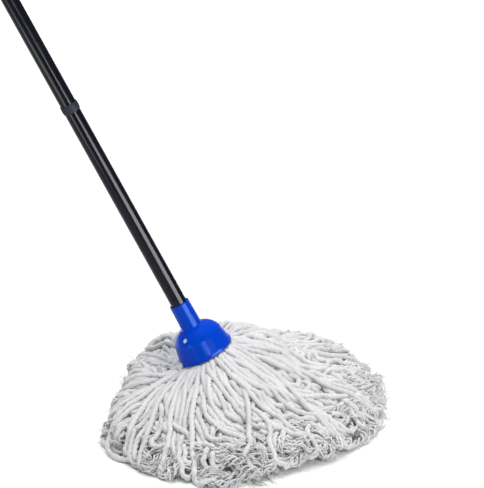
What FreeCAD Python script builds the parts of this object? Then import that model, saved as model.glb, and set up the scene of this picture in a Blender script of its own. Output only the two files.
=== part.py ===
import FreeCAD, Part
import math
import os
from FreeCAD import Placement, Rotation, Vector

# Cotton string mop: a plastic bell that clamps the yarn and takes the handle in a
# threaded neck, and a handle made of four equal steel tubes that screw together.
# Millimetres, +Z up. The origin is on the floor, straight below the centre of the
# bell's rim. Everything above the yarn lies along one leaning axis, the handle axis.

os.makedirs("parts", exist_ok=True)

# handle axis
LEAN_DEG = 28.0             # from the vertical, towards -X
PIVOT_HEIGHT = 87.0         # centre of the bell's rim above the floor

# bell, heights measured up the handle axis from the plane of the rim
RIM_R = 38.5
RIM_BAND = 5.0
SHOULDER_R = 33.4
SHOULDER_H = 24.6
DOME_R, DOME_H = 27.1, 34.1     # a point half way round the dome
DOME_TOP_R = 15.4
DOME_TOP_H = 41.0
NECK_BASE_R = 14.3
NECK_MOUTH_R = 13.65
NECK_BASE_H = 43.0
NECK_MOUTH_H = 77.2
BELL_WALL = 2.4
CAVITY_H = 38.4
SOCKET_FLOOR_H = 63.0           # top of the threaded bush, where the tube's end stops
BUSH_BOTTOM_H = 40.4
BUSH_STOP_R = 9.9
SIDE_HOLE_R = 3.5
SIDE_HOLE_DEG = (-110.0, 70.0)  # the two holes in the dome, about the handle axis
SIDE_HOLE_TILT = 41.0           # of the hole's axis, from the handle axis
PEG_RECESS = 1.2                # of the clamp's pegs, below the dome's surface

# handle tubes
TUBE_R = 11.0
TUBE_WALL = 0.5
TUBE_LENGTH = 312.3
TUBE_COUNT = 4
JOINT_GAP = 12.0                # between two tube ends, covered by a collar ring
SOCKET_GAP = 0.12               # radial gap of the tube in the neck
PRESS_GAP = 0.03                # radial gap of plugs glued or crimped in the tubes
INSERT_LENGTH = 42.0            # of every plug inside its tube

# crimp dimples that hold the threaded tip in the lowest tube
DIMPLE_R = 2.4
DIMPLE_OFFSET = 1.0             # of the dimple sphere's centre outside the tube wall
DIMPLE_ROWS = (12.5, 30.0)      # above the neck's mouth
DIMPLE_DEG = 2.0                # first of four, about the handle axis

# screw threads, right-handed
HEAD_PITCH = 4.2
HEAD_CORE_R = 7.9
HEAD_CREST_R = 9.4
HEAD_THREAD_LENGTH = 22.0
HEAD_THREAD_RUNOUT = 1.2        # plain end of the screw below its first turn
COUPLING_PITCH = 3.0
COUPLING_CORE_R = 6.5
COUPLING_CREST_R = 7.7
COUPLING_THREAD_LENGTH = 18.0
THREAD_GAP = 0.28

# collar rings
COLLAR_R = 12.3
COLLAR_CROWN = 0.5
COLLAR_GAP = 0.10
BEAD_DEPTH = 0.4

# end cap and hanging loop
CAP_R = 12.4
CAP_SKIRT = 30.0
CAP_TOP = 11.0
STEM_R = 4.0
STEM_HEAD_R = 6.2
EYE_R = 16.0
EYE_HOLE_R = 9.5
EYE_THICKNESS = 6.0
EYE_CENTRE_ABOVE_CAP = 17.0

# yarn
ROOT_BALL_R = 44.0              # yarn just below the rim, about the rim's centre
RECESS_R = 45.0                 # hollow in the skirt that the root ball turns in
CORE_R = 15.5
TUFT_COUNT = 12
TUFT_ANGLE = 29.0
SKIRT_MEAN_R = 204.0
SKIRT_SWEEP = (63.4, -16.5)     # how far, and in which direction, the yarn is dragged
SKIRT_OVAL = (23.0, 86.0)
CREST_MEAN = 75.0               # top of the yarn, close to the bell
CREST_RISE = 19.0               # the yarn stands higher on the side away from the lean
EDGE_MEAN = 26.0                # top of the yarn, near its outer edge
EDGE_RISE = 10.0
EDGE_RISE_DEG = 20.0

HANDLE_FRAME = Placement(Vector(0, 0, PIVOT_HEIGHT), Rotation(Vector(0, 1, 0), -LEAN_DEG))
UP = Vector(0, 0, 1)


def save(name, shape, along_handle=True):
    """Write one node; handle parts are moved from their own axis to the leaning one."""
    shape = shape.removeSplitter()
    if along_handle:
        shape.Placement = HANDLE_FRAME.multiply(shape.Placement)
    solids = shape.Solids
    assert len(solids) == 1 and shape.isValid(), name
    solids[0].exportStep("parts/" + name + ".step")


def turned(edges):
    """Solid of revolution about +Z from edges in the XZ plane."""
    face = Part.Face(Part.Wire(Part.sortEdges(edges)[0]))
    return face.revolve(Vector(0, 0, 0), UP, 360)


def outline(points):
    """Straight edges through (radius, height) points, closed."""
    corners = [Vector(r, 0, h) for r, h in points]
    corners.append(corners[0])
    return [Part.makeLine(a, b) for a, b in zip(corners, corners[1:])]


def arc(start, middle, end):
    return Part.Arc(*[Vector(r, 0, h) for r, h in (start, middle, end)]).toShape()


def line(start, end):
    return Part.makeLine(Vector(start[0], 0, start[1]), Vector(end[0], 0, end[1]))


def cylinder(radius, bottom, top):
    return Part.makeCylinder(radius, top - bottom, Vector(0, 0, bottom))


def ring_positions(first_deg, count):
    return [math.radians(first_deg + 360.0 * i / count) for i in range(count)]


def helical_ridge(core_r, crest_r, pitch, bottom, length, grow=0.0):
    """Trapezoid ridge wound round a core; grow widens it into the matching groove."""
    taper = 0.0
    helix = Part.makeLongHelix(pitch, length, core_r, taper)
    half_base = 0.27 * pitch + grow
    half_crest = 0.15 * pitch + grow
    inner = core_r - 0.4
    outer = crest_r + grow
    profile = Part.Wire(outline([(inner, -half_base), (outer, -half_crest),
                                 (outer, half_crest), (inner, half_base)]))
    sweep = Part.BRepOffsetAPI.MakePipeShell(Part.Wire(helix))
    sweep.setBiNormalMode(UP)
    sweep.add(profile)
    sweep.build()
    sweep.makeSolid()
    ridge = sweep.shape()
    ridge.translate(Vector(0, 0, bottom))
    return ridge


def bell_socket():
    """Neck, dome and rim in one moulding, hollow below, with a bore up the neck."""
    lip = 0.8
    outer = [
        line((RIM_R - 2.1, 0), (RIM_R - 0.8, 0)),
        arc((RIM_R - 0.8, 0), (RIM_R - 0.2, 0.25), (RIM_R, 0.9)),
        line((RIM_R, 0.9), (RIM_R, RIM_BAND - 0.6)),
        arc((RIM_R, RIM_BAND - 0.6), (RIM_R - 0.2, RIM_BAND - 0.2), (RIM_R - 0.6, RIM_BAND)),
        line((RIM_R - 0.6, RIM_BAND), (RIM_R - 1.0, RIM_BAND)),
        line((RIM_R - 1.0, RIM_BAND), (SHOULDER_R, SHOULDER_H)),
        arc((SHOULDER_R, SHOULDER_H), (DOME_R, DOME_H), (DOME_TOP_R, DOME_TOP_H)),
        arc((DOME_TOP_R, DOME_TOP_H), (NECK_BASE_R + 0.3, 41.8), (NECK_BASE_R, NECK_BASE_H)),
        line((NECK_BASE_R, NECK_BASE_H), (NECK_MOUTH_R, NECK_MOUTH_H - lip)),
        arc((NECK_MOUTH_R, NECK_MOUTH_H - lip),
            (NECK_MOUTH_R - 0.25, NECK_MOUTH_H - 0.25), (NECK_MOUTH_R - lip, NECK_MOUTH_H)),
    ]
    socket_r = TUBE_R + SOCKET_GAP
    inside_top = (14.0, CAVITY_H)
    inside_side = (SHOULDER_R - BELL_WALL, SHOULDER_H - 0.6)
    inner = [
        line((NECK_MOUTH_R - lip, NECK_MOUTH_H), (socket_r, NECK_MOUTH_H)),
        line((socket_r, NECK_MOUTH_H), (socket_r, BUSH_BOTTOM_H)),
        line((socket_r, BUSH_BOTTOM_H), (BUSH_STOP_R, BUSH_BOTTOM_H)),
        line((BUSH_STOP_R, BUSH_BOTTOM_H), (BUSH_STOP_R, CAVITY_H)),
        line((BUSH_STOP_R, CAVITY_H), inside_top),
        arc(inside_top, (DOME_R - 1.75, DOME_H - 1.9), inside_side),
        line(inside_side, (RIM_R - 2.1, 0)),
    ]
    bell = turned(outer + inner)
    for angle in [math.radians(deg) for deg in SIDE_HOLE_DEG]:
        bell = bell.cut(dome_pin(angle, SIDE_HOLE_R, 8.0, 6.0))
    return bell


def thread_bush():
    """Bush with the female thread, pressed down the neck on to the stop above the dome."""
    bore_r = HEAD_CORE_R + THREAD_GAP
    outer_r = TUBE_R + SOCKET_GAP - PRESS_GAP
    bush = cylinder(outer_r, BUSH_BOTTOM_H, SOCKET_FLOOR_H)
    bush = bush.cut(cylinder(bore_r, BUSH_BOTTOM_H - 1.0, SOCKET_FLOOR_H + 1.0))
    groove = helical_ridge(bore_r, HEAD_CREST_R, HEAD_PITCH, first_turn() - 2 * HEAD_PITCH,
                           HEAD_THREAD_LENGTH + 4 * HEAD_PITCH, THREAD_GAP)
    return bush.cut(groove)


def screw_end():
    return SOCKET_FLOOR_H - HEAD_THREAD_LENGTH + 0.2


def first_turn():
    """Height where the head's thread begins; ridge and groove start from it in phase."""
    return screw_end() + HEAD_THREAD_RUNOUT


def dome_pin(angle, radius, inwards, outwards):
    """Cylinder square to the dome's surface through the point half way round it."""
    tilt = math.radians(SIDE_HOLE_TILT)
    across = Vector(math.cos(angle), math.sin(angle), 0)
    axis = across * math.sin(tilt) + UP * math.cos(tilt)
    middle = across * DOME_R + UP * DOME_H
    return Part.makeCylinder(radius, inwards + outwards, middle - axis * inwards, axis)


def yarn_clamp():
    """Plate inside the bell that the yarn is looped through, held by two pegs in the dome."""
    plate = cylinder(30.0, 17.0, 20.5).cut(cylinder(17.0, 16.0, 22.0))
    for angle in [math.radians(deg) for deg in SIDE_HOLE_DEG]:
        post = Part.makeBox(7.0, 6.0, 13.0, Vector(18.5, -3.0, 17.0))
        post.rotate(Vector(0, 0, 0), UP, math.degrees(angle))
        peg = dome_pin(angle, SIDE_HOLE_R - 0.2, 9.0, -PEG_RECESS)
        plate = plate.fuse([post, peg])
    return plate


def yarn_root():
    """Yarn gathered in the bell, with the ball it makes just below the rim."""
    knob = cylinder(16.5, 20.6, 27.0)
    stem = cylinder(16.5, 8.0, 21.0)
    bundle = cylinder(31.6, -2.0, 16.6)
    ball = Part.makeSphere(ROOT_BALL_R).common(cylinder(60.0, -60.0, -1.2))
    return ball.fuse([bundle, stem, knob])


def threaded_tip(tube_end):
    """Plastic end of the lowest tube: shoulder, plug in the tube and screw below."""
    screw_bottom = screw_end()
    body = turned(outline([
        (0, screw_bottom - 1.5), (HEAD_CORE_R - 1.0, screw_bottom - 1.5),
        (HEAD_CORE_R, screw_bottom), (HEAD_CORE_R, tube_end - 1.5),
        (TUBE_R - 0.1, tube_end - 1.5), (TUBE_R - 0.1, tube_end),
        (insert_r(), tube_end), (insert_r(), tube_end + INSERT_LENGTH + 10.0),
        (insert_r() - 1.0, tube_end + INSERT_LENGTH + 11.0), (0, tube_end + INSERT_LENGTH + 11.0)]))
    ridge = helical_ridge(HEAD_CORE_R, HEAD_CREST_R, HEAD_PITCH, first_turn(),
                          HEAD_THREAD_LENGTH - 3.0)
    tip = body.fuse(ridge)
    for dent in dimples(DIMPLE_R + TUBE_WALL + 0.1):
        tip = tip.cut(dent)
    return tip


def insert_r():
    return TUBE_R - TUBE_WALL - PRESS_GAP


def dimples(radius):
    spheres = []
    for height in DIMPLE_ROWS:
        for angle in ring_positions(DIMPLE_DEG, 4):
            reach = TUBE_R + DIMPLE_OFFSET
            centre = Vector(reach * math.cos(angle), reach * math.sin(angle), NECK_MOUTH_H + height)
            spheres.append(Part.makeSphere(radius, centre))
    return spheres


def tube(bottom, dented):
    wall = cylinder(TUBE_R, bottom, bottom + TUBE_LENGTH)
    wall = wall.cut(cylinder(TUBE_R - TUBE_WALL, bottom - 1, bottom + TUBE_LENGTH + 1))
    if dented:
        outside = cylinder(TUBE_R, bottom, bottom + TUBE_LENGTH)
        for bump, dent in zip(dimples(DIMPLE_R + TUBE_WALL), dimples(DIMPLE_R)):
            wall = wall.fuse(bump.common(outside)).cut(dent)
    return wall


def coupling_socket(joint):
    """Threaded plug in a tube's upper end; joint is the height where two sections meet."""
    rim_r = TUBE_R - 0.05
    bead_r = rim_r - BEAD_DEPTH - 0.1
    tube_end = joint - JOINT_GAP / 2
    bore_r = COUPLING_CORE_R + THREAD_GAP
    bore_floor = joint - COUPLING_THREAD_LENGTH - 1.5
    body = turned(outline([
        (0, tube_end - INSERT_LENGTH), (insert_r() - 1.0, tube_end - INSERT_LENGTH),
        (insert_r(), tube_end - INSERT_LENGTH + 1.0), (insert_r(), tube_end),
        (rim_r, tube_end), (rim_r, joint - 4.0), (bead_r, joint - 3.5), (bead_r, joint - 2.0),
        (rim_r, joint - 1.5), (rim_r, joint - 0.1), (bore_r, joint - 0.1),
        (bore_r, bore_floor), (0, bore_floor)]))
    groove = helical_ridge(bore_r, COUPLING_CREST_R, COUPLING_PITCH,
                           joint - COUPLING_THREAD_LENGTH - COUPLING_PITCH,
                           COUPLING_THREAD_LENGTH + 3 * COUPLING_PITCH, THREAD_GAP)
    groove = groove.common(cylinder(20.0, bore_floor + 0.3, joint + 5.0))
    return body.cut(groove)


def coupling_plug(joint):
    """Threaded stud on a tube's lower end, screwed into the socket below it."""
    rim_r = TUBE_R - 0.05
    tube_end = joint + JOINT_GAP / 2
    stud_bottom = joint - COUPLING_THREAD_LENGTH
    body = turned(outline([
        (0, stud_bottom), (COUPLING_CORE_R - 1.0, stud_bottom),
        (COUPLING_CORE_R, stud_bottom + 1.0), (COUPLING_CORE_R, joint),
        (rim_r, joint), (rim_r, tube_end), (insert_r(), tube_end),
        (insert_r(), tube_end + INSERT_LENGTH - 1.0),
        (insert_r() - 1.0, tube_end + INSERT_LENGTH), (0, tube_end + INSERT_LENGTH)]))
    ridge = helical_ridge(COUPLING_CORE_R, COUPLING_CREST_R, COUPLING_PITCH,
                          joint - COUPLING_THREAD_LENGTH + COUPLING_PITCH,
                          COUPLING_THREAD_LENGTH - 1.4 * COUPLING_PITCH)
    return body.fuse(ridge)


def collar_ring(joint):
    """Crowned ring over the joint, snapped into the groove round the socket."""
    inner = TUBE_R - 0.05 + COLLAR_GAP
    bead = inner - BEAD_DEPTH
    low = joint - JOINT_GAP / 2 + 0.05
    high = joint + JOINT_GAP / 2 - 0.05
    edge = COLLAR_R - COLLAR_CROWN
    edges = [
        line((inner, low), (edge - 0.3, low)),
        line((edge - 0.3, low), (edge, low + 0.4)),
        arc((edge, low + 0.4), (COLLAR_R, joint), (edge, high - 0.4)),
        line((edge, high - 0.4), (edge - 0.3, high)),
        line((edge - 0.3, high), (inner, high)),
        line((inner, high), (inner, joint - 1.7)),
        line((inner, joint - 1.7), (bead, joint - 2.2)),
        line((bead, joint - 2.2), (bead, joint - 3.3)),
        line((bead, joint - 3.3), (inner, joint - 3.8)),
        line((inner, joint - 3.8), (inner, low)),
    ]
    return turned(edges)


def top_cap(tube_top):
    """Closed end of the handle, with a pocket for the swivelling stem of the loop."""
    bore = TUBE_R + PRESS_GAP
    top = tube_top + CAP_TOP
    edges = [
        line((bore, tube_top - CAP_SKIRT), (CAP_R - 0.6, tube_top - CAP_SKIRT)),
        line((CAP_R - 0.6, tube_top - CAP_SKIRT), (CAP_R, tube_top - CAP_SKIRT + 0.8)),
        line((CAP_R, tube_top - CAP_SKIRT + 0.8), (CAP_R, tube_top + 3.0)),
        arc((CAP_R, tube_top + 3.0), (CAP_R - 1.9, tube_top + 8.2), (CAP_R - 6.0, top)),
        line((CAP_R - 6.0, top), (STEM_R + 0.1, top)),
        line((STEM_R + 0.1, top), (STEM_R + 0.1, tube_top + 6.0)),
        line((STEM_R + 0.1, tube_top + 6.0), (STEM_HEAD_R + 0.2, tube_top + 6.0)),
        line((STEM_HEAD_R + 0.2, tube_top + 6.0), (STEM_HEAD_R + 0.2, tube_top + 0.1)),
        line((STEM_HEAD_R + 0.2, tube_top + 0.1), (bore, tube_top + 0.1)),
        line((bore, tube_top + 0.1), (bore, tube_top - CAP_SKIRT)),
    ]
    return turned(edges)


def hanging_loop(tube_top):
    """Flat eye on a headed stem that turns in the end cap."""
    cap_top = tube_top + CAP_TOP
    centre = cap_top + EYE_CENTRE_ABOVE_CAP
    stem = turned(outline([
        (0, tube_top + 1.0), (STEM_HEAD_R, tube_top + 1.0), (STEM_HEAD_R, tube_top + 5.8),
        (STEM_R, tube_top + 5.8), (STEM_R, cap_top + 0.3), (STEM_R + 1.5, cap_top + 0.3),
        (STEM_R, centre - EYE_R + 3.5), (0, centre - EYE_R + 3.5)]))
    half = EYE_THICKNESS / 2
    eye = Part.makeCylinder(EYE_R, EYE_THICKNESS, Vector(0, -half, centre), Vector(0, 1, 0))
    eye = eye.makeFillet(1.8, [edge for edge in eye.Edges if edge.Length < 2.1 * math.pi * EYE_R
                               and edge.Closed])
    hole = Part.makeCylinder(EYE_HOLE_R, EYE_THICKNESS + 2, Vector(0, -half - 1, centre),
                             Vector(0, 1, 0))
    return eye.fuse(stem).cut(hole)


def skirt_radius(angle):
    sweep, sweep_deg = SKIRT_SWEEP
    oval, oval_deg = SKIRT_OVAL
    return (SKIRT_MEAN_R + sweep * math.cos(angle - math.radians(sweep_deg))
            + oval * math.cos(2 * (angle - math.radians(oval_deg))))


def recess_height(radius):
    return PIVOT_HEIGHT - math.sqrt(RECESS_R ** 2 - radius ** 2)


def yarn_core():
    """Yarn straight below the bell, flat on the floor and hollowed for the root ball."""
    core = cylinder(CORE_R, 0, PIVOT_HEIGHT)
    return core.cut(Part.makeSphere(RECESS_R, Vector(0, 0, PIVOT_HEIGHT)))


def yarn_tuft(index):
    """One sector of the spread yarn, lying on the floor and rising to the bell."""
    angle = ring_positions(0.0, TUFT_COUNT)[index]
    reach = skirt_radius(angle)
    crest = CREST_MEAN + CREST_RISE * math.cos(angle)
    edge = EDGE_MEAN + EDGE_RISE * math.cos(angle - math.radians(EDGE_RISE_DEG))
    crest_r = math.sqrt(RECESS_R ** 2 - (PIVOT_HEIGHT - crest) ** 2)
    inner_r = CORE_R + 1.0
    deep_r = (inner_r + crest_r) / 2
    top = Part.BSplineCurve()
    top.interpolate([Vector(crest_r, 0, crest), Vector(crest_r + 12.0, 0, crest - 5.0),
                     Vector(0.55 * reach, 0, 0.50 * crest), Vector(0.80 * reach, 0, edge),
                     Vector(reach - 6.0, 0, 0.55 * edge), Vector(reach, 0, 5.0)])
    edges = [
        line((inner_r, 0), (reach - 3.0, 0)),
        line((reach - 3.0, 0), (reach, 5.0)),
        top.toShape(),
        arc((crest_r, crest), (deep_r, recess_height(deep_r)), (inner_r, recess_height(inner_r))),
        line((inner_r, recess_height(inner_r)), (inner_r, 0)),
    ]
    face = Part.Face(Part.Wire(Part.sortEdges(edges)[0]))
    tuft = face.revolve(Vector(0, 0, 0), UP, TUFT_ANGLE)
    tuft.rotate(Vector(0, 0, 0), UP, math.degrees(angle) - TUFT_ANGLE / 2)
    return tuft


save("bell_socket", bell_socket())
save("thread_bush", thread_bush())
save("yarn_clamp", yarn_clamp())
save("yarn_root", yarn_root())
save("yarn_core", yarn_core(), along_handle=False)
for number in range(TUFT_COUNT):
    save("yarn_tuft_%02d" % (number + 1), yarn_tuft(number), along_handle=False)

first_tube_end = SOCKET_FLOOR_H + 1.7
save("threaded_tip", threaded_tip(first_tube_end))
for number in range(TUBE_COUNT):
    tube_bottom = first_tube_end + number * (TUBE_LENGTH + JOINT_GAP)
    save("tube_%d" % (number + 1), tube(tube_bottom, dented=(number == 0)))
    if number > 0:
        meeting = tube_bottom - JOINT_GAP / 2
        save("coupling_socket_%d" % number, coupling_socket(meeting))
        save("coupling_plug_%d" % number, coupling_plug(meeting))
        save("collar_ring_%d" % number, collar_ring(meeting))
handle_top = first_tube_end + TUBE_COUNT * TUBE_LENGTH + (TUBE_COUNT - 1) * JOINT_GAP
save("top_cap", top_cap(handle_top))
save("hanging_loop", hanging_loop(handle_top))
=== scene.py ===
import math

import bmesh
import bpy
import numpy as np
from mathutils import Matrix, Vector


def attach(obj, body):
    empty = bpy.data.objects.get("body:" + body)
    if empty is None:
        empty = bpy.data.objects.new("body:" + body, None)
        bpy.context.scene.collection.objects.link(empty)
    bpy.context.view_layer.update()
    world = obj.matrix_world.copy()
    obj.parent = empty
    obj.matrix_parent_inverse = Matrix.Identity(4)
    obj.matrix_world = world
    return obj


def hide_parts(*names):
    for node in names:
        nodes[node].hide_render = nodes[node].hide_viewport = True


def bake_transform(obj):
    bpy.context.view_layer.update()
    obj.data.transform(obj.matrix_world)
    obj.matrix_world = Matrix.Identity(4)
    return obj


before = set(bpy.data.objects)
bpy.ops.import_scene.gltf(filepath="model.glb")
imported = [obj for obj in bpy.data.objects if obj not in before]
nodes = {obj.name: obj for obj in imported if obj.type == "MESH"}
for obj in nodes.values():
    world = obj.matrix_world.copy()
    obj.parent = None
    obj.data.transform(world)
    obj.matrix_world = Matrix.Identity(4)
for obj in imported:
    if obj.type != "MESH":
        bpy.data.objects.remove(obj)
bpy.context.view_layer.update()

# Metres, in the CAD's frame. The handle's axis leans from the vertical in the XZ plane
# and crosses the centre of the bell's rim.
LEAN = math.radians(28.0)
RIM_CENTRE = np.array([0.0, 0.0, 0.087])
AXIS = np.array([-math.sin(LEAN), 0.0, math.cos(LEAN)])
ACROSS = np.array([math.cos(LEAN), 0.0, math.sin(LEAN)])
SIDE = np.array([0.0, 1.0, 0.0])

# yarn
STRANDS = 196
POINTS = 42
STRAND_R = 0.0036
COVER = 0.013               # strands that lie over the filling of the mound
YARN_LENGTH = 0.256
# Height of the yarn's top at these shares of its reach, for eight bearings from +X round
# by +Y: it is piled high behind the bell, where it was pushed, and thins out in front.
SHARES = (0.30, 0.55, 0.80, 0.96)
HEIGHTS = ((0.094, 0.056, 0.038, 0.022),
           (0.105, 0.060, 0.050, 0.046),
           (0.098, 0.064, 0.037, 0.017),
           (0.086, 0.070, 0.050, 0.024),
           (0.060, 0.060, 0.050, 0.024),
           (0.058, 0.050, 0.034, 0.018),
           (0.072, 0.042, 0.026, 0.014),
           (0.082, 0.046, 0.030, 0.016))
# Where the strands' ends are dragged further out or held back: bearing and width in
# degrees, and by how much.
DRAGS = ((40.0, 20.0, 0.026), (8.0, 20.0, 0.008), (78.0, 18.0, -0.012), (-46.0, 20.0, -0.030),
         (200.0, 25.0, -0.010), (232.0, 16.0, 0.012))
TUFTS = 12
SEED = 7


def skirt_radius(angle):
    """Reach of the spread yarn on the floor, as in the CAD's tufts."""
    return (0.204 + 0.0634 * np.cos(angle + math.radians(16.5))
            + 0.023 * np.cos(2 * (angle - math.radians(86.0))))


def spread_radius(angle):
    """Reach of the strands' ends."""
    reach = skirt_radius(angle)
    for bearing, width, more in DRAGS:
        off = (angle - math.radians(bearing) + math.pi) % (2 * math.pi) - math.pi
        reach = reach + more * np.exp(-(off / math.radians(width)) ** 2)
    return reach


def bell_radius(height):
    """Outer radius of the bell at a height up the handle's axis from the rim."""
    return np.interp(height, [0.0, 0.005, 0.0246, 0.0341, 0.0410, 0.043, 0.077],
                     [0.0385, 0.0375, 0.0334, 0.0271, 0.0154, 0.0143, 0.0137])


def smooth(t):
    t = np.clip(t, 0.0, 1.0)
    return t * t * (3 - 2 * t)


def mound_height(x, y, cover):
    """Top of the yarn that lies under a cover of strands."""
    angle = np.arctan2(y, x)
    radius = np.hypot(x, y)
    share = radius / skirt_radius(angle)
    bearing = (angle / (2 * math.pi) % 1.0) * len(HEIGHTS)
    first = bearing.astype(int) % len(HEIGHTS)
    turn = smooth(bearing - np.floor(bearing))
    table = np.array(HEIGHTS)
    column = table[first] * (1 - turn)[..., None] + table[(first + 1) % len(HEIGHTS)] * turn[..., None]
    outer = column[..., 0]
    for k in range(len(SHARES) - 1):
        part = np.clip((share - SHARES[k]) / (SHARES[k + 1] - SHARES[k]), 0.0, 1.0)
        outer = outer + (column[..., k + 1] - column[..., k]) * part
    # Close to the bell the yarn comes out along the plane of the tilted rim.
    inner = RIM_CENTRE[2] + math.tan(LEAN) * x - 0.009
    mix = smooth((radius - 0.038) / 0.040)
    low = cover + 0.015 * (1 - smooth((radius - 0.040) / 0.055))
    rim = 1 - smooth((share - 0.72 - 0.12 * np.maximum(np.cos(angle - math.radians(45.0)), 0.0)) / 0.20)
    return np.maximum((inner * (1 - mix) + outer * mix - low) * rim, 0.0)


def lay_out(rng):
    """First guess of every strand: out of the bell's mouth, over the mound and along the floor."""
    order = np.arange(STRANDS)
    share = 0.52 + 0.48 * np.sqrt((order + 0.5) / STRANDS)
    exit_r = 0.0290 * share
    exit_angle = order * math.radians(137.508) + rng.normal(0.0, 0.05, STRANDS)
    length = YARN_LENGTH * rng.uniform(0.94, 1.04, STRANDS)
    fine = np.linspace(0.0, 1.0, 160)
    paths = np.zeros((STRANDS, POINTS, 3))
    for i in range(STRANDS):
        angle = exit_angle[i]
        turn = -math.radians(30.0) * math.sin(angle) + math.radians(66.0) * max(0.0, -math.cos(angle))
        turn = turn * rng.uniform(0.6, 1.2) + math.radians(rng.normal(0.0, 8.0))
        reach = spread_radius(angle + turn) * rng.uniform(0.90, 1.0) - 0.006
        length[i] *= 1.0 + 0.10 * math.cos(angle + turn - math.radians(30.0))
        start = RIM_CENTRE + exit_r[i] * (math.cos(angle) * ACROSS + math.sin(angle) * SIDE)
        layer = STRAND_R * (1.0 + 2.0 * rng.uniform(0.0, 1.6) + 3.0 * (share[i] - 0.52))
        hump = 0.0
        if share[i] > 0.86 and math.cos(angle - math.radians(50.0)) > 0.85:
            hump = rng.uniform(0.2, 1.0) * 0.026
        waves = rng.uniform(1.0, 1.8)
        phase = rng.uniform(0, 2 * math.pi)
        low, high = 0.0, 0.060
        for attempt in range(16):
            swing = (low + high) / 2
            path = strand_path(fine, start, exit_r[i], angle, turn, reach, layer, hump, waves, phase, swing)
            run = np.linalg.norm(np.diff(path, axis=0), axis=1).sum()
            if run < length[i]:
                low = swing
            else:
                high = swing
        paths[i] = resample(path, POINTS, min(run, length[i]))
    return paths, length


def strand_path(t, start, exit_r, angle, turn, reach, layer, hump, waves, phase, swing):
    heading = angle + turn * smooth((t - 0.15) / 0.85)
    radius = exit_r + (reach - exit_r) * t
    sway = swing * np.sin(2 * math.pi * waves * t + phase) * smooth((t - 0.12) / 0.3)
    x = np.cos(heading) * radius - np.sin(heading) * sway
    y = np.sin(heading) * radius + np.cos(heading) * sway
    z = mound_height(x, y, COVER) + layer + hump * np.exp(-((t - 0.16) / 0.09) ** 2)
    over = np.stack([x, y, z], axis=1)
    inside = start + AXIS * 0.014
    straight = inside - AXIS * (t[:, None] * 0.30)
    out = smooth(t / 0.085)[:, None]
    return straight * (1 - out) + over * out


def resample(path, count, length=None):
    """Points at equal distances along a polyline, as far as length."""
    step = np.linalg.norm(np.diff(path, axis=0), axis=1)
    along = np.concatenate([[0.0], np.cumsum(step)])
    wanted = np.linspace(0.0, along[-1] if length is None else length, count)
    return np.stack([np.interp(wanted, along, path[:, k]) for k in range(3)], axis=1)


def close_pairs(points, reach):
    """Index pairs of points nearer than about reach, through a grid of cells."""
    cell = np.floor(points / reach).astype(np.int64)
    cell -= cell.min(axis=0)
    size = cell.max(axis=0) + 3
    key = ((cell[:, 0] + 1) * size[1] + cell[:, 1] + 1) * size[2] + cell[:, 2] + 1
    order = np.argsort(key, kind="stable")
    ranked = key[order]
    firsts, seconds = [], []
    for dx in (0, 1):
        for dy in (-1, 0, 1):
            for dz in (-1, 0, 1):
                if (dx, dy, dz) < (0, 0, 0):
                    continue
                other = key + (dx * size[1] + dy) * size[2] + dz
                begin = np.searchsorted(ranked, other, "left")
                count = np.searchsorted(ranked, other, "right") - begin
                first = np.repeat(np.arange(len(points)), count)
                offset = np.arange(count.sum()) - np.repeat(np.cumsum(count) - count, count)
                second = order[np.repeat(begin, count) + offset]
                if (dx, dy, dz) == (0, 0, 0):
                    keep = first < second
                    first, second = first[keep], second[keep]
                firsts.append(first)
                seconds.append(second)
    first, second = np.concatenate(firsts), np.concatenate(seconds)
    near = ((points[first] - points[second]) ** 2).sum(axis=1) < reach * reach
    return first[near], second[near]


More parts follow.
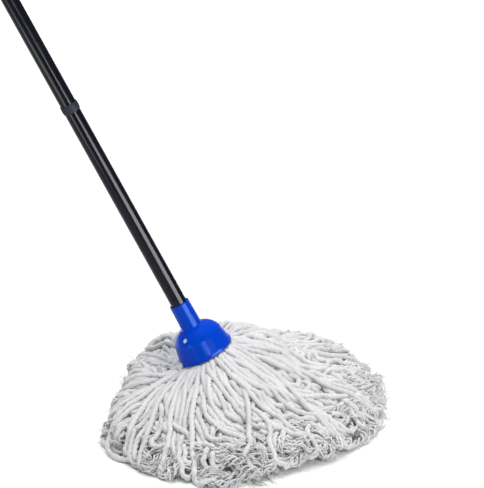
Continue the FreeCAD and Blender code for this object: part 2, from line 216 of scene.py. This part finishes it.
def settle(paths, lengths, steps):
    """Lets the strands sag on the floor, the bell and one another."""
    count, per = paths.shape[:2]
    x = paths.copy()
    rest = (lengths / (per - 1))[:, None, None]
    speed = np.zeros_like(x)
    pinned = 3
    free = np.ones((count, per, 1))
    free[:, :pinned] = 0.0
    strand = np.repeat(np.arange(count), per)
    place = np.tile(np.arange(per), count)
    gap = 2 * STRAND_R
    dt = 1 / 90
    held = x[:, :pinned].copy()
    for step in range(steps):
        before = x.copy()
        speed[..., 2] -= 9.8 * dt
        speed *= 0.90
        x = x + speed * dt * free
        if step % 3 == 0:
            first, second = close_pairs(x.reshape(-1, 3), gap + 0.004)
            apart = (strand[first] != strand[second]) | (np.abs(place[first] - place[second]) > 3)
            first, second = first[apart], second[apart]
        for sweep in range(7):
            for parity in (0, 1):
                a, b = x[:, parity:-1:2], x[:, parity + 1::2]
                fa, fb = free[:, parity:-1:2], free[:, parity + 1::2]
                d = b - a
                dist = np.linalg.norm(d, axis=2, keepdims=True) + 1e-9
                push = (dist - rest) * d / dist / np.maximum(fa + fb, 1.0)
                x[:, parity:-1:2] += fa * push
                x[:, parity + 1::2] -= fb * push
            # Yarn resists sharp bends: points two apart keep most of their distance.
            for start in range(3):
                a, b = x[:, start:-2:3], x[:, start + 2::3]
                m = min(a.shape[1], b.shape[1])
                d = b[:, :m] - a[:, :m]
                dist = np.linalg.norm(d, axis=2, keepdims=True) + 1e-9
                short = np.minimum(dist - 1.94 * rest, 0.0) * 0.35
                x[:, start:-2:3][:, :m] += free[:, start:-2:3][:, :m] * short * d / dist
                x[:, start + 2::3][:, :m] -= free[:, start + 2::3][:, :m] * short * d / dist
            flat = x.reshape(-1, 3)
            d = flat[first] - flat[second]
            dist = np.sqrt((d ** 2).sum(axis=1)) + 1e-9
            deep = np.minimum(gap - dist, 0.0015)
            hit = deep > 0
            move = (0.45 * deep[hit] / dist[hit])[:, None] * d[hit]
            shift = np.zeros_like(flat)
            for k in range(3):
                shift[:, k] += np.bincount(first[hit], move[:, k], len(flat))
                shift[:, k] -= np.bincount(second[hit], move[:, k], len(flat))
            size = np.linalg.norm(shift, axis=1, keepdims=True) + 1e-12
            shift *= np.minimum(1.0, 0.0015 / size)
            x = x + shift.reshape(x.shape) * free
            x = clear_of_bell(x, pinned)
            ground = mound_height(x[..., 0], x[..., 1], COVER) + STRAND_R
            x[..., 2] = np.where(free[..., 0] > 0, np.maximum(x[..., 2], ground), x[..., 2])
            spread = np.hypot(x[..., 0], x[..., 1])
            bearing = np.arctan2(x[..., 1], x[..., 0])
            limit = spread_radius(bearing) - 0.017
            x[..., :2] *= (1 - 0.5 * np.maximum(spread - limit, 0.0) / (spread + 1e-9))[..., None]
            x[:, :pinned] = held
        # Yarn that lies on something hardly slides.
        lying = (x[..., 2] < ground + 0.002)[..., None]
        moved = x - before
        moved[..., :2] *= np.where(lying, 0.4, 0.85)
        x = before + moved
        speed = moved / dt * 0.9
        fastest = np.linalg.norm(speed, axis=2, keepdims=True) + 1e-9
        speed *= np.minimum(1.0, 0.5 / fastest)
    return x


def clear_of_bell(x, pinned):
    """Keeps yarn under the rim and outside the bell's shell."""
    local = x - RIM_CENTRE
    height = local @ AXIS
    across = local - height[..., None] * AXIS
    radius = np.linalg.norm(across, axis=2) + 1e-9
    late = np.arange(x.shape[1])[None, :] >= pinned
    shell = bell_radius(np.clip(height, 0.0, 0.077)) + STRAND_R
    outside = late & (height > 0.0) & (radius < shell) & (radius > 0.037)
    grow = np.where(outside, (shell - radius) / radius, 0.0)
    x = x + across * grow[..., None]
    limit = -STRAND_R - 0.0012 + 0.2 * np.maximum(radius - 0.040, 0.0)
    under = late & (height > limit) & (radius < 0.068)
    drop = np.where(under & ~outside, np.maximum(limit - height, -0.003), 0.0)
    return x + drop[..., None] * AXIS


def frames_along(path):
    """Unit tangents and a pair of normals carried along a polyline without twisting."""
    tangent = np.gradient(path, axis=0)
    tangent /= np.linalg.norm(tangent, axis=1, keepdims=True) + 1e-12
    normal = np.zeros_like(path)
    guess = np.cross(tangent[0], [0.3, 0.9, 0.2])
    normal[0] = guess / np.linalg.norm(guess)
    for i in range(1, len(path)):
        n = normal[i - 1] - tangent[i] * (normal[i - 1] @ tangent[i])
        normal[i] = n / (np.linalg.norm(n) + 1e-12)
    return tangent, normal, np.cross(tangent, normal)


def spline(path, step):
    """Smooth curve through the points, sampled at about step."""
    padded = np.vstack([2 * path[0] - path[1], path, 2 * path[-1] - path[-2]])
    run = np.linalg.norm(np.diff(path, axis=0), axis=1).sum()
    samples = max(4, int(run / step))
    t = np.linspace(0, len(path) - 1 - 1e-6, samples)
    i = t.astype(int)
    f = (t - i)[:, None]
    p0, p1, p2, p3 = padded[i], padded[i + 1], padded[i + 2], padded[i + 3]
    return 0.5 * (2 * p1 + (p2 - p0) * f + (2 * p0 - 5 * p1 + 4 * p2 - p3) * f ** 2
                  + (3 * p1 - p0 - 3 * p2 + p3) * f ** 3)


class Tubes:
    """Collects tubes into one mesh, with how far along and around each point lies."""

    def __init__(self):
        self.points, self.faces, self.along, self.around, self.tone = [], [], [], [], []
        self.count = 0

    def add(self, path, radii, sides, tone, start=0.0):
        """radii is one row per ring, one column per side. The ends are closed."""
        tangent, normal, other = frames_along(path)
        turn = np.arange(sides) * 2 * math.pi / sides
        ring = (np.cos(turn)[None, :, None] * normal[:, None]
                + np.sin(turn)[None, :, None] * other[:, None])
        body = path[:, None] + ring * radii[:, :, None]
        rings = len(path)
        run = np.concatenate([[0], np.cumsum(np.linalg.norm(np.diff(path, axis=0), axis=1))]) + start
        vertices = np.vstack([body.reshape(-1, 3), path[:1], path[-1:]])
        vertices[:, 2] = np.maximum(vertices[:, 2], 0.0002)
        base = self.count
        grid = base + np.arange(rings * sides).reshape(rings, sides)
        nxt = np.roll(grid, -1, axis=1)
        quads = np.stack([grid[:-1], nxt[:-1], nxt[1:], grid[1:]], axis=2).reshape(-1, 4)
        low, high = base + rings * sides, base + rings * sides + 1
        caps = [(low, int(nxt[0, k]), int(grid[0, k])) for k in range(sides)]
        caps += [(high, int(grid[-1, k]), int(nxt[-1, k])) for k in range(sides)]
        self.points.append(vertices)
        self.faces += [tuple(q) for q in quads.tolist()] + caps
        self.along.append(np.concatenate([np.repeat(run, sides), [run[0], run[-1]]]))
        self.around.append(np.concatenate([np.tile(turn, rings), [0, 0]]))
        self.tone.append(np.full(len(vertices), tone))
        self.count += len(vertices)

    def add_grid(self, points, tone):
        """A sheet through a grid of points."""
        rows, columns = points.shape[:2]
        grid = self.count + np.arange(rows * columns).reshape(rows, columns)
        quads = np.stack([grid[:-1, :-1], grid[1:, :-1], grid[1:, 1:], grid[:-1, 1:]], axis=2)
        self.points.append(points.reshape(-1, 3))
        self.faces += [tuple(q) for q in quads.reshape(-1, 4).tolist()]
        self.along.append(np.zeros(rows * columns))
        self.around.append(np.zeros(rows * columns))
        self.tone.append(np.full(rows * columns, tone))
        self.count += rows * columns

    def build(self, name):
        mesh = bpy.data.meshes.new(name)
        points = np.vstack(self.points)
        mesh.from_pydata(points.tolist(), [], self.faces)
        for label, values in (("along", self.along), ("around", self.around), ("tone", self.tone)):
            layer = mesh.attributes.new(label, "FLOAT", "POINT")
            layer.data.foreach_set("value", np.concatenate(values).astype(np.float32))
        mesh.polygons.foreach_set("use_smooth", [True] * len(mesh.polygons))
        mesh.update()
        piece = bpy.data.objects.new(name, mesh)
        bpy.context.scene.collection.objects.link(piece)
        return piece


def add_strand(tubes, path, rng):
    """One twisted three-ply strand whose end has come apart into fine yarns."""
    curve = spline(path, 0.0022)
    step = np.linalg.norm(np.diff(curve, axis=0), axis=1)
    run = np.concatenate([[0], np.cumsum(step)])
    fray = rng.uniform(0.020, 0.075)
    tone = rng.uniform(0, 1)
    cut = max(8, int(np.searchsorted(run, run[-1] - fray)))
    body, along = curve[:cut], run[:cut]
    sides = 12
    turn = np.arange(sides) * 2 * math.pi / sides
    pitch = rng.uniform(0.021, 0.027)
    spin = 2 * math.pi * along[:, None] / pitch + rng.uniform(0, 6)
    lobes = np.abs(np.cos(1.5 * (turn[None] - spin)))
    swell = 1 + 0.07 * np.sin(along[:, None] * 190 + rng.uniform(0, 6)) * rng.uniform(0.4, 1)
    radii = STRAND_R * (0.72 + 0.37 * lobes ** 0.8) * swell
    radii = radii + rng.normal(0, 0.00017, radii.shape)
    ease = smooth(np.minimum((along[-1] - along) / 0.006, 1.0))[:, None]
    radii = radii * (0.35 + 0.65 * ease)
    tubes.add(body, radii, sides, tone)
    tail = curve[max(0, cut - 4):]
    tangent, normal, other = frames_along(tail)
    t = np.linspace(0, 1, len(tail))
    reach = run[-1] - run[max(0, cut - 4)]
    for end in range(6):
        # Each fine yarn keeps the crimp that the twist gave it.
        angle = 2 * math.pi * (end / 6 + (1 - t) * reach / pitch) + rng.normal(0, 0.3)
        out = 0.0019 + rng.uniform(0.002, 0.011) * t ** 1.2
        crimp = 2 * math.pi * t * reach / rng.uniform(0.009, 0.014) + rng.uniform(0, 6)
        small = 0.0012 * smooth(t / 0.15)
        offset = ((np.cos(angle) * out + np.cos(crimp) * small)[:, None] * normal
                  + (np.sin(angle) * out + np.sin(crimp) * small)[:, None] * other)
        wobble = np.sin(2 * math.pi * (t[:, None] * rng.uniform(0.6, 2.2, 3) + rng.uniform(0, 1, 3)))
        line = tail + offset + wobble * rng.normal(0, 0.0026, 3) * t[:, None]
        line[:, 2] = np.maximum(line[:, 2], 0.0016)
        thick = 0.0014 * (1 - 0.3 * t ** 2)
        stop = int(len(line) * rng.uniform(0.62, 1.0))
        if stop < 4:
            continue
        tubes.add(line[:stop], np.repeat(thick[:stop, None], 5, axis=1), 5, tone)
        add_threads(tubes, line[:stop], tone, rng)


def add_threads(tubes, ply, tone, rng):
    """Fine loose threads that a fine yarn ends in."""
    heading = ply[-1] - ply[-3]
    heading /= np.linalg.norm(heading) + 1e-12
    t = np.linspace(0, 1, 7)[:, None]
    for thread in range(3):
        aim = heading + rng.normal(0, 0.40, 3)
        aim[2] -= 0.15
        aim /= np.linalg.norm(aim)
        curl = rng.normal(0, 0.0022, 3)
        length = rng.uniform(0.007, 0.018)
        line = ply[-2] + aim * t * length + np.sin(t * rng.uniform(2.5, 5.0)) * curl * t
        line[:, 2] = np.maximum(line[:, 2], 0.0009)
        radii = np.repeat(0.00070 * (1 - 0.6 * t), 4, axis=1)
        tubes.add(line, radii, 4, tone)


def add_filling(tubes, tuft, rng):
    """Rumpled yarn under one tuft's strands, seen only through the gaps between them."""
    bearing = tuft * 2 * math.pi / TUFTS
    angles = bearing + np.linspace(-1.08, 1.08, 18) * math.pi / TUFTS
    share = np.linspace(0.0, 1.0, 44)
    angle, along = np.meshgrid(angles, share)
    # It stops short of the strands' ends, and most of all in front, where they are sparse.
    stop = 0.80 + 0.08 * np.cos(angle - math.radians(70.0))
    radius = 0.020 + (skirt_radius(angle) * stop - 0.020) * along
    x, y = radius * np.cos(angle), radius * np.sin(angle)
    z = mound_height(x, y, COVER + 0.0005)
    hollow = RIM_CENTRE[2] - np.sqrt(np.maximum(0.0455 ** 2 - radius ** 2, 0.0))
    z = np.where(radius < 0.0455, np.minimum(z, hollow), z)
    ripple = np.sin(angle * 62 + 3 * np.sin(radius * 60 + tuft)) * 0.0018
    z = np.maximum(z + ripple * (radius > 0.045) + rng.normal(0, 0.0004, z.shape), 0.0006)
    z[-1] = 0.0004
    tubes.add_grid(np.stack([x, y, z], axis=2), 0.0)


def root_ball():
    """Yarn bunched in the bell's mouth, between and behind the strands."""
    tubes = Tubes()
    polar = np.linspace(0.02, 0.5 * math.pi, 26)
    turn = np.linspace(0, 2 * math.pi, 73)
    polar, turn = np.meshgrid(polar, turn)
    radius = 0.0400 + 0.0012 * np.sin(34 * turn) * np.sin(polar)
    local = np.stack([np.sin(polar) * np.cos(turn), np.sin(polar) * np.sin(turn), -np.cos(polar)], axis=2)
    local *= radius[..., None]
    local[..., :2] *= 0.85
    local[..., 2] -= 0.002
    points = (RIM_CENTRE + local[..., :1] * ACROSS + local[..., 1:2] * SIDE + local[..., 2:] * AXIS)
    tubes.add_grid(points, 0.2)
    return tubes.build("yarn_bunch")


def build_yarn():
    rng = np.random.default_rng(SEED)
    paths, lengths = lay_out(rng)
    settled = settle(paths, lengths, 170)
    pieces = []
    middle = settled[:, POINTS // 3, :2]
    sector = np.round(np.arctan2(middle[:, 1], middle[:, 0]) / (2 * math.pi) * TUFTS).astype(int) % TUFTS
    for tuft in range(TUFTS):
        tubes = Tubes()
        add_filling(tubes, tuft, rng)
        for i in np.nonzero(sector == tuft)[0]:
            add_strand(tubes, settled[i], rng)
        pieces.append(tubes.build("strands_%02d" % (tuft + 1)))
    return pieces


# ---------------------------------------------------------------- materials

def new_material(name):
    material = bpy.data.materials.new(name)
    material.use_nodes = True
    tree = material.node_tree
    return material, tree, tree.nodes["Principled BSDF"]


def noise(tree, scale, detail=4.0, rough=0.5, coordinate=None):
    node = tree.nodes.new("ShaderNodeTexNoise")
    node.inputs["Scale"].default_value = scale
    node.inputs["Detail"].default_value = detail
    node.inputs["Roughness"].default_value = rough
    if coordinate is None:
        place = tree.nodes.new("ShaderNodeTexCoord")
        coordinate = place.outputs["Object"]
    tree.links.new(coordinate, node.inputs["Vector"])
    return node


def ramp(tree, source, low, high, low_at=0.3, high_at=0.7):
    node = tree.nodes.new("ShaderNodeValToRGB")
    node.color_ramp.elements[0].position = low_at
    node.color_ramp.elements[1].position = high_at
    node.color_ramp.elements[0].color = low if len(low) == 4 else (*low, 1)
    node.color_ramp.elements[1].color = high if len(high) == 4 else (*high, 1)
    tree.links.new(source, node.inputs["Fac"])
    return node


def bump(tree, shader, height, strength, distance, previous=None):
    node = tree.nodes.new("ShaderNodeBump")
    node.inputs["Strength"].default_value = strength
    node.inputs["Distance"].default_value = distance
    tree.links.new(height, node.inputs["Height"])
    if previous is not None:
        tree.links.new(previous.outputs["Normal"], node.inputs["Normal"])
    tree.links.new(node.outputs["Normal"], shader.inputs["Normal"])
    return node


def grey_range(tree, source, low, high, low_at=0.3, high_at=0.7):
    return ramp(tree, source, (low, low, low), (high, high, high), low_at, high_at)


def plastic(name, dark, light, roughness, ior=1.35, grain_depth=0.00004, tint=(1, 1, 1)):
    """Moulded plastic: faint colour drift, uneven gloss and a fine moulded grain."""
    material, tree, shader = new_material(name)
    drift = noise(tree, 18.0)
    tree.links.new(ramp(tree, drift.outputs["Fac"], dark, light).outputs["Color"],
                   shader.inputs["Base Color"])
    smudge = noise(tree, 55.0, 6.0, 0.65)
    tree.links.new(grey_range(tree, smudge.outputs["Fac"], roughness * 0.85, roughness * 1.25).outputs["Color"],
                   shader.inputs["Roughness"])
    shader.inputs["IOR"].default_value = ior
    shader.inputs["Specular Tint"].default_value = (*tint, 1)
    skin = noise(tree, 1500.0, 2.0, 0.4)
    wave = noise(tree, 45.0, 2.0, 0.4)
    first = bump(tree, shader, wave.outputs["Fac"], 0.12, 0.0006)
    bump(tree, shader, skin.outputs["Fac"], 0.25, grain_depth, first)
    return material


def tube_paint():
    material, tree, shader = new_material("tube_coating")
    drift = noise(tree, 14.0)
    tree.links.new(ramp(tree, drift.outputs["Fac"], (0.0035, 0.004, 0.009), (0.006, 0.007, 0.014)).outputs["Color"],
                   shader.inputs["Base Color"])
    scuff = noise(tree, 40.0, 6.0, 0.6)
    tree.links.new(grey_range(tree, scuff.outputs["Fac"], 0.10, 0.17).outputs["Color"],
                   shader.inputs["Roughness"])
    shader.inputs["Specular IOR Level"].default_value = 0.18
    peel = noise(tree, 300.0, 2.0, 0.4)
    bump(tree, shader, peel.outputs["Fac"], 0.03, 0.0001)
    return material


def cotton():
    """Loose cotton: soft fibres along the twist, slight tint from strand to strand."""
    material, tree, shader = new_material("cotton_yarn_fibres")
    along = tree.nodes.new("ShaderNodeAttribute")
    along.attribute_name = "along"
    around = tree.nodes.new("ShaderNodeAttribute")
    around.attribute_name = "around"
    tone = tree.nodes.new("ShaderNodeAttribute")
    tone.attribute_name = "tone"
    fine = noise(tree, 900.0, 6.0, 0.7)
    tuftlets = noise(tree, 260.0, 4.0, 0.6)
    stain = noise(tree, 16.0, 3.0, 0.5)
    base = ramp(tree, tone.outputs["Fac"], (0.75, 0.75, 0.748), (0.82, 0.82, 0.818), 0.0, 1.0)
    tint = ramp(tree, stain.outputs["Fac"], (0.93, 0.93, 0.94), (1.0, 1.0, 1.0))
    mix = tree.nodes.new("ShaderNodeMix")
    mix.data_type = "RGBA"
    mix.blend_type = "MULTIPLY"
    mix.inputs["Factor"].default_value = 1.0
    tree.links.new(base.outputs["Color"], mix.inputs["A"])
    tree.links.new(tint.outputs["Color"], mix.inputs["B"])
    speck = ramp(tree, fine.outputs["Fac"], (0.88, 0.88, 0.88), (1.0, 1.0, 1.0), 0.3, 0.6)
    mix2 = tree.nodes.new("ShaderNodeMix")
    mix2.data_type = "RGBA"
    mix2.blend_type = "MULTIPLY"
    mix2.inputs["Factor"].default_value = 1.0
    tree.links.new(mix.outputs["Result"], mix2.inputs["A"])
    tree.links.new(speck.outputs["Color"], mix2.inputs["B"])
    tree.links.new(mix2.outputs["Result"], shader.inputs["Base Color"])
    shader.inputs["Roughness"].default_value = 0.95
    shader.inputs["Sheen Weight"].default_value = 0.35
    shader.inputs["Sheen Roughness"].default_value = 0.5
    shader.inputs["Specular IOR Level"].default_value = 0.05
    first = bump(tree, shader, tuftlets.outputs["Fac"], 0.5, 0.0010)
    bump(tree, shader, fine.outputs["Fac"], 0.55, 0.0005, first)
    return material


def dress(names, material):
    for name in names:
        mesh = nodes[name].data
        mesh.materials.clear()
        mesh.materials.append(material)


# ---------------------------------------------------------------- stage

def stage():
    size = 15.0
    mesh = bpy.data.meshes.new("studio_floor")
    mesh.from_pydata([(-size, -size, 0), (size, -size, 0), (size, size, 0), (-size, size, 0)], [], [(0, 1, 2, 3)])
    floor = bpy.data.objects.new("studio_floor", mesh)
    bpy.context.scene.collection.objects.link(floor)
    material, tree, shader = new_material("studio_paper")
    shader.inputs["Base Color"].default_value = (0.94, 0.94, 0.94, 1)
    shader.inputs["Roughness"].default_value = 0.9
    mesh.materials.append(material)


def light(name, place, aim, size, power, tall=None, mirrored=False):
    """Area light that either lights the scene or is only seen mirrored in glossy surfaces."""
    data = bpy.data.lights.new(name, "AREA")
    data.energy = power
    data.size = size
    if tall:
        data.shape = "RECTANGLE"
        data.size_y = tall
    lamp = bpy.data.objects.new(name, data)
    lamp.location = place
    lamp.visible_camera = False
    lamp.visible_glossy = mirrored
    lamp.visible_diffuse = not mirrored
    lamp.rotation_euler = (Vector(aim) - Vector(place)).to_track_quat("-Z", "Y").to_euler()
    bpy.context.scene.collection.objects.link(lamp)


def studio():
    scene = bpy.context.scene
    scene.view_settings.view_transform = "Standard"
    world = bpy.data.worlds.new("studio")
    scene.world = world
    world.use_nodes = True
    world.node_tree.nodes["Background"].inputs["Color"].default_value = (0.97, 0.98, 1.0, 1)
    world.node_tree.nodes["Background"].inputs["Strength"].default_value = 0.18
    light("overhead", (-0.35, 0.15, 2.4), (0, 0.1, 0), 2.2, 60.0)
    light("softbox", (1.58, -1.22, 1.15), (0, 0, 0.75), 0.95, 19.0, 1.6)
    light("side_panel", (1.70, -1.06, 0.37), (0, 0, 0.37), 1.70, 67.0, 0.73, mirrored=True)
    light("low_card", (-0.43, -0.57, 0.17), (-0.225, 0, 0.511), 0.42, 1.4, 0.20, mirrored=True)
    light("front_panel", (0.62, -1.90, 0.88), (0, 0, 0.1), 0.85, 17.0, 0.40, mirrored=True)
    light("floor_light", (0.0, 2.3, 1.4), (0, 2.3, 0), 1.6, 28.0)


def camera():
    azimuth, elevation = math.radians(8.6), math.radians(24.0)
    distance = 5.5
    scale = 0.00133          # metres in one pixel of a 484 x 488 image, at the bell
    back = Vector((math.sin(azimuth) * math.cos(elevation),
                   -math.cos(azimuth) * math.cos(elevation), math.sin(elevation)))
    level = Vector((math.cos(azimuth), math.sin(azimuth), 0))
    right = Matrix.Rotation(math.radians(0.33), 3, back) @ level
    up = back.cross(right)
    middle = Vector(RIM_CENTRE) + right * (36.2 * scale) + up * (107.4 * scale)
    data = bpy.data.cameras.new("camera")
    data.lens = 36.0 * distance / (488 * scale)
    data.clip_end = 50.0
    cam = bpy.data.objects.new("camera", data)
    cam.matrix_world = Matrix.Translation(middle + back * distance) @ Matrix((right, up, back)).transposed().to_4x4()
    bpy.context.scene.collection.objects.link(cam)
    bpy.context.scene.camera = cam


# ---------------------------------------------------------------- build

yarn_material = cotton()
for tuft, piece in enumerate(build_yarn()):
    piece.data.materials.append(yarn_material)
    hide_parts("yarn_tuft_%02d" % (tuft + 1))
    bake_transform(piece)
    if tuft == 0:
        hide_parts("yarn_core")
bunch = root_ball()
bunch.data.materials.append(yarn_material)
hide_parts("yarn_root")
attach(bunch, "head")

dress(["bell_socket"], plastic("bell_blue", (0.0, 0.050, 0.54), (0.0, 0.058, 0.60), 0.20, 1.29,
                               grain_depth=0.00002, tint=(0.30, 0.50, 1.0)))
dress(["yarn_clamp"], plastic("clamp_white", (0.74, 0.76, 0.80), (0.80, 0.82, 0.86), 0.45))
dress(["tube_%d" % k for k in range(1, 5)], tube_paint())
inserts = ["threaded_tip"] + ["coupling_%s_%d" % (kind, k) for kind in ("socket", "plug") for k in (1, 2, 3)]
dress(inserts, plastic("insert_grey", (0.035, 0.036, 0.040), (0.050, 0.050, 0.056), 0.5))
dress(["thread_bush"], plastic("bush_grey", (0.035, 0.036, 0.040), (0.050, 0.050, 0.056), 0.5))
dress(["collar_ring_%d" % k for k in (1, 2, 3)],
      plastic("collar_slate", (0.018, 0.022, 0.034), (0.026, 0.031, 0.045), 0.5, 1.25))
dress(["top_cap", "hanging_loop"], plastic("cap_black", (0.012, 0.012, 0.014), (0.020, 0.020, 0.023), 0.45))

stage()
studio()
camera()
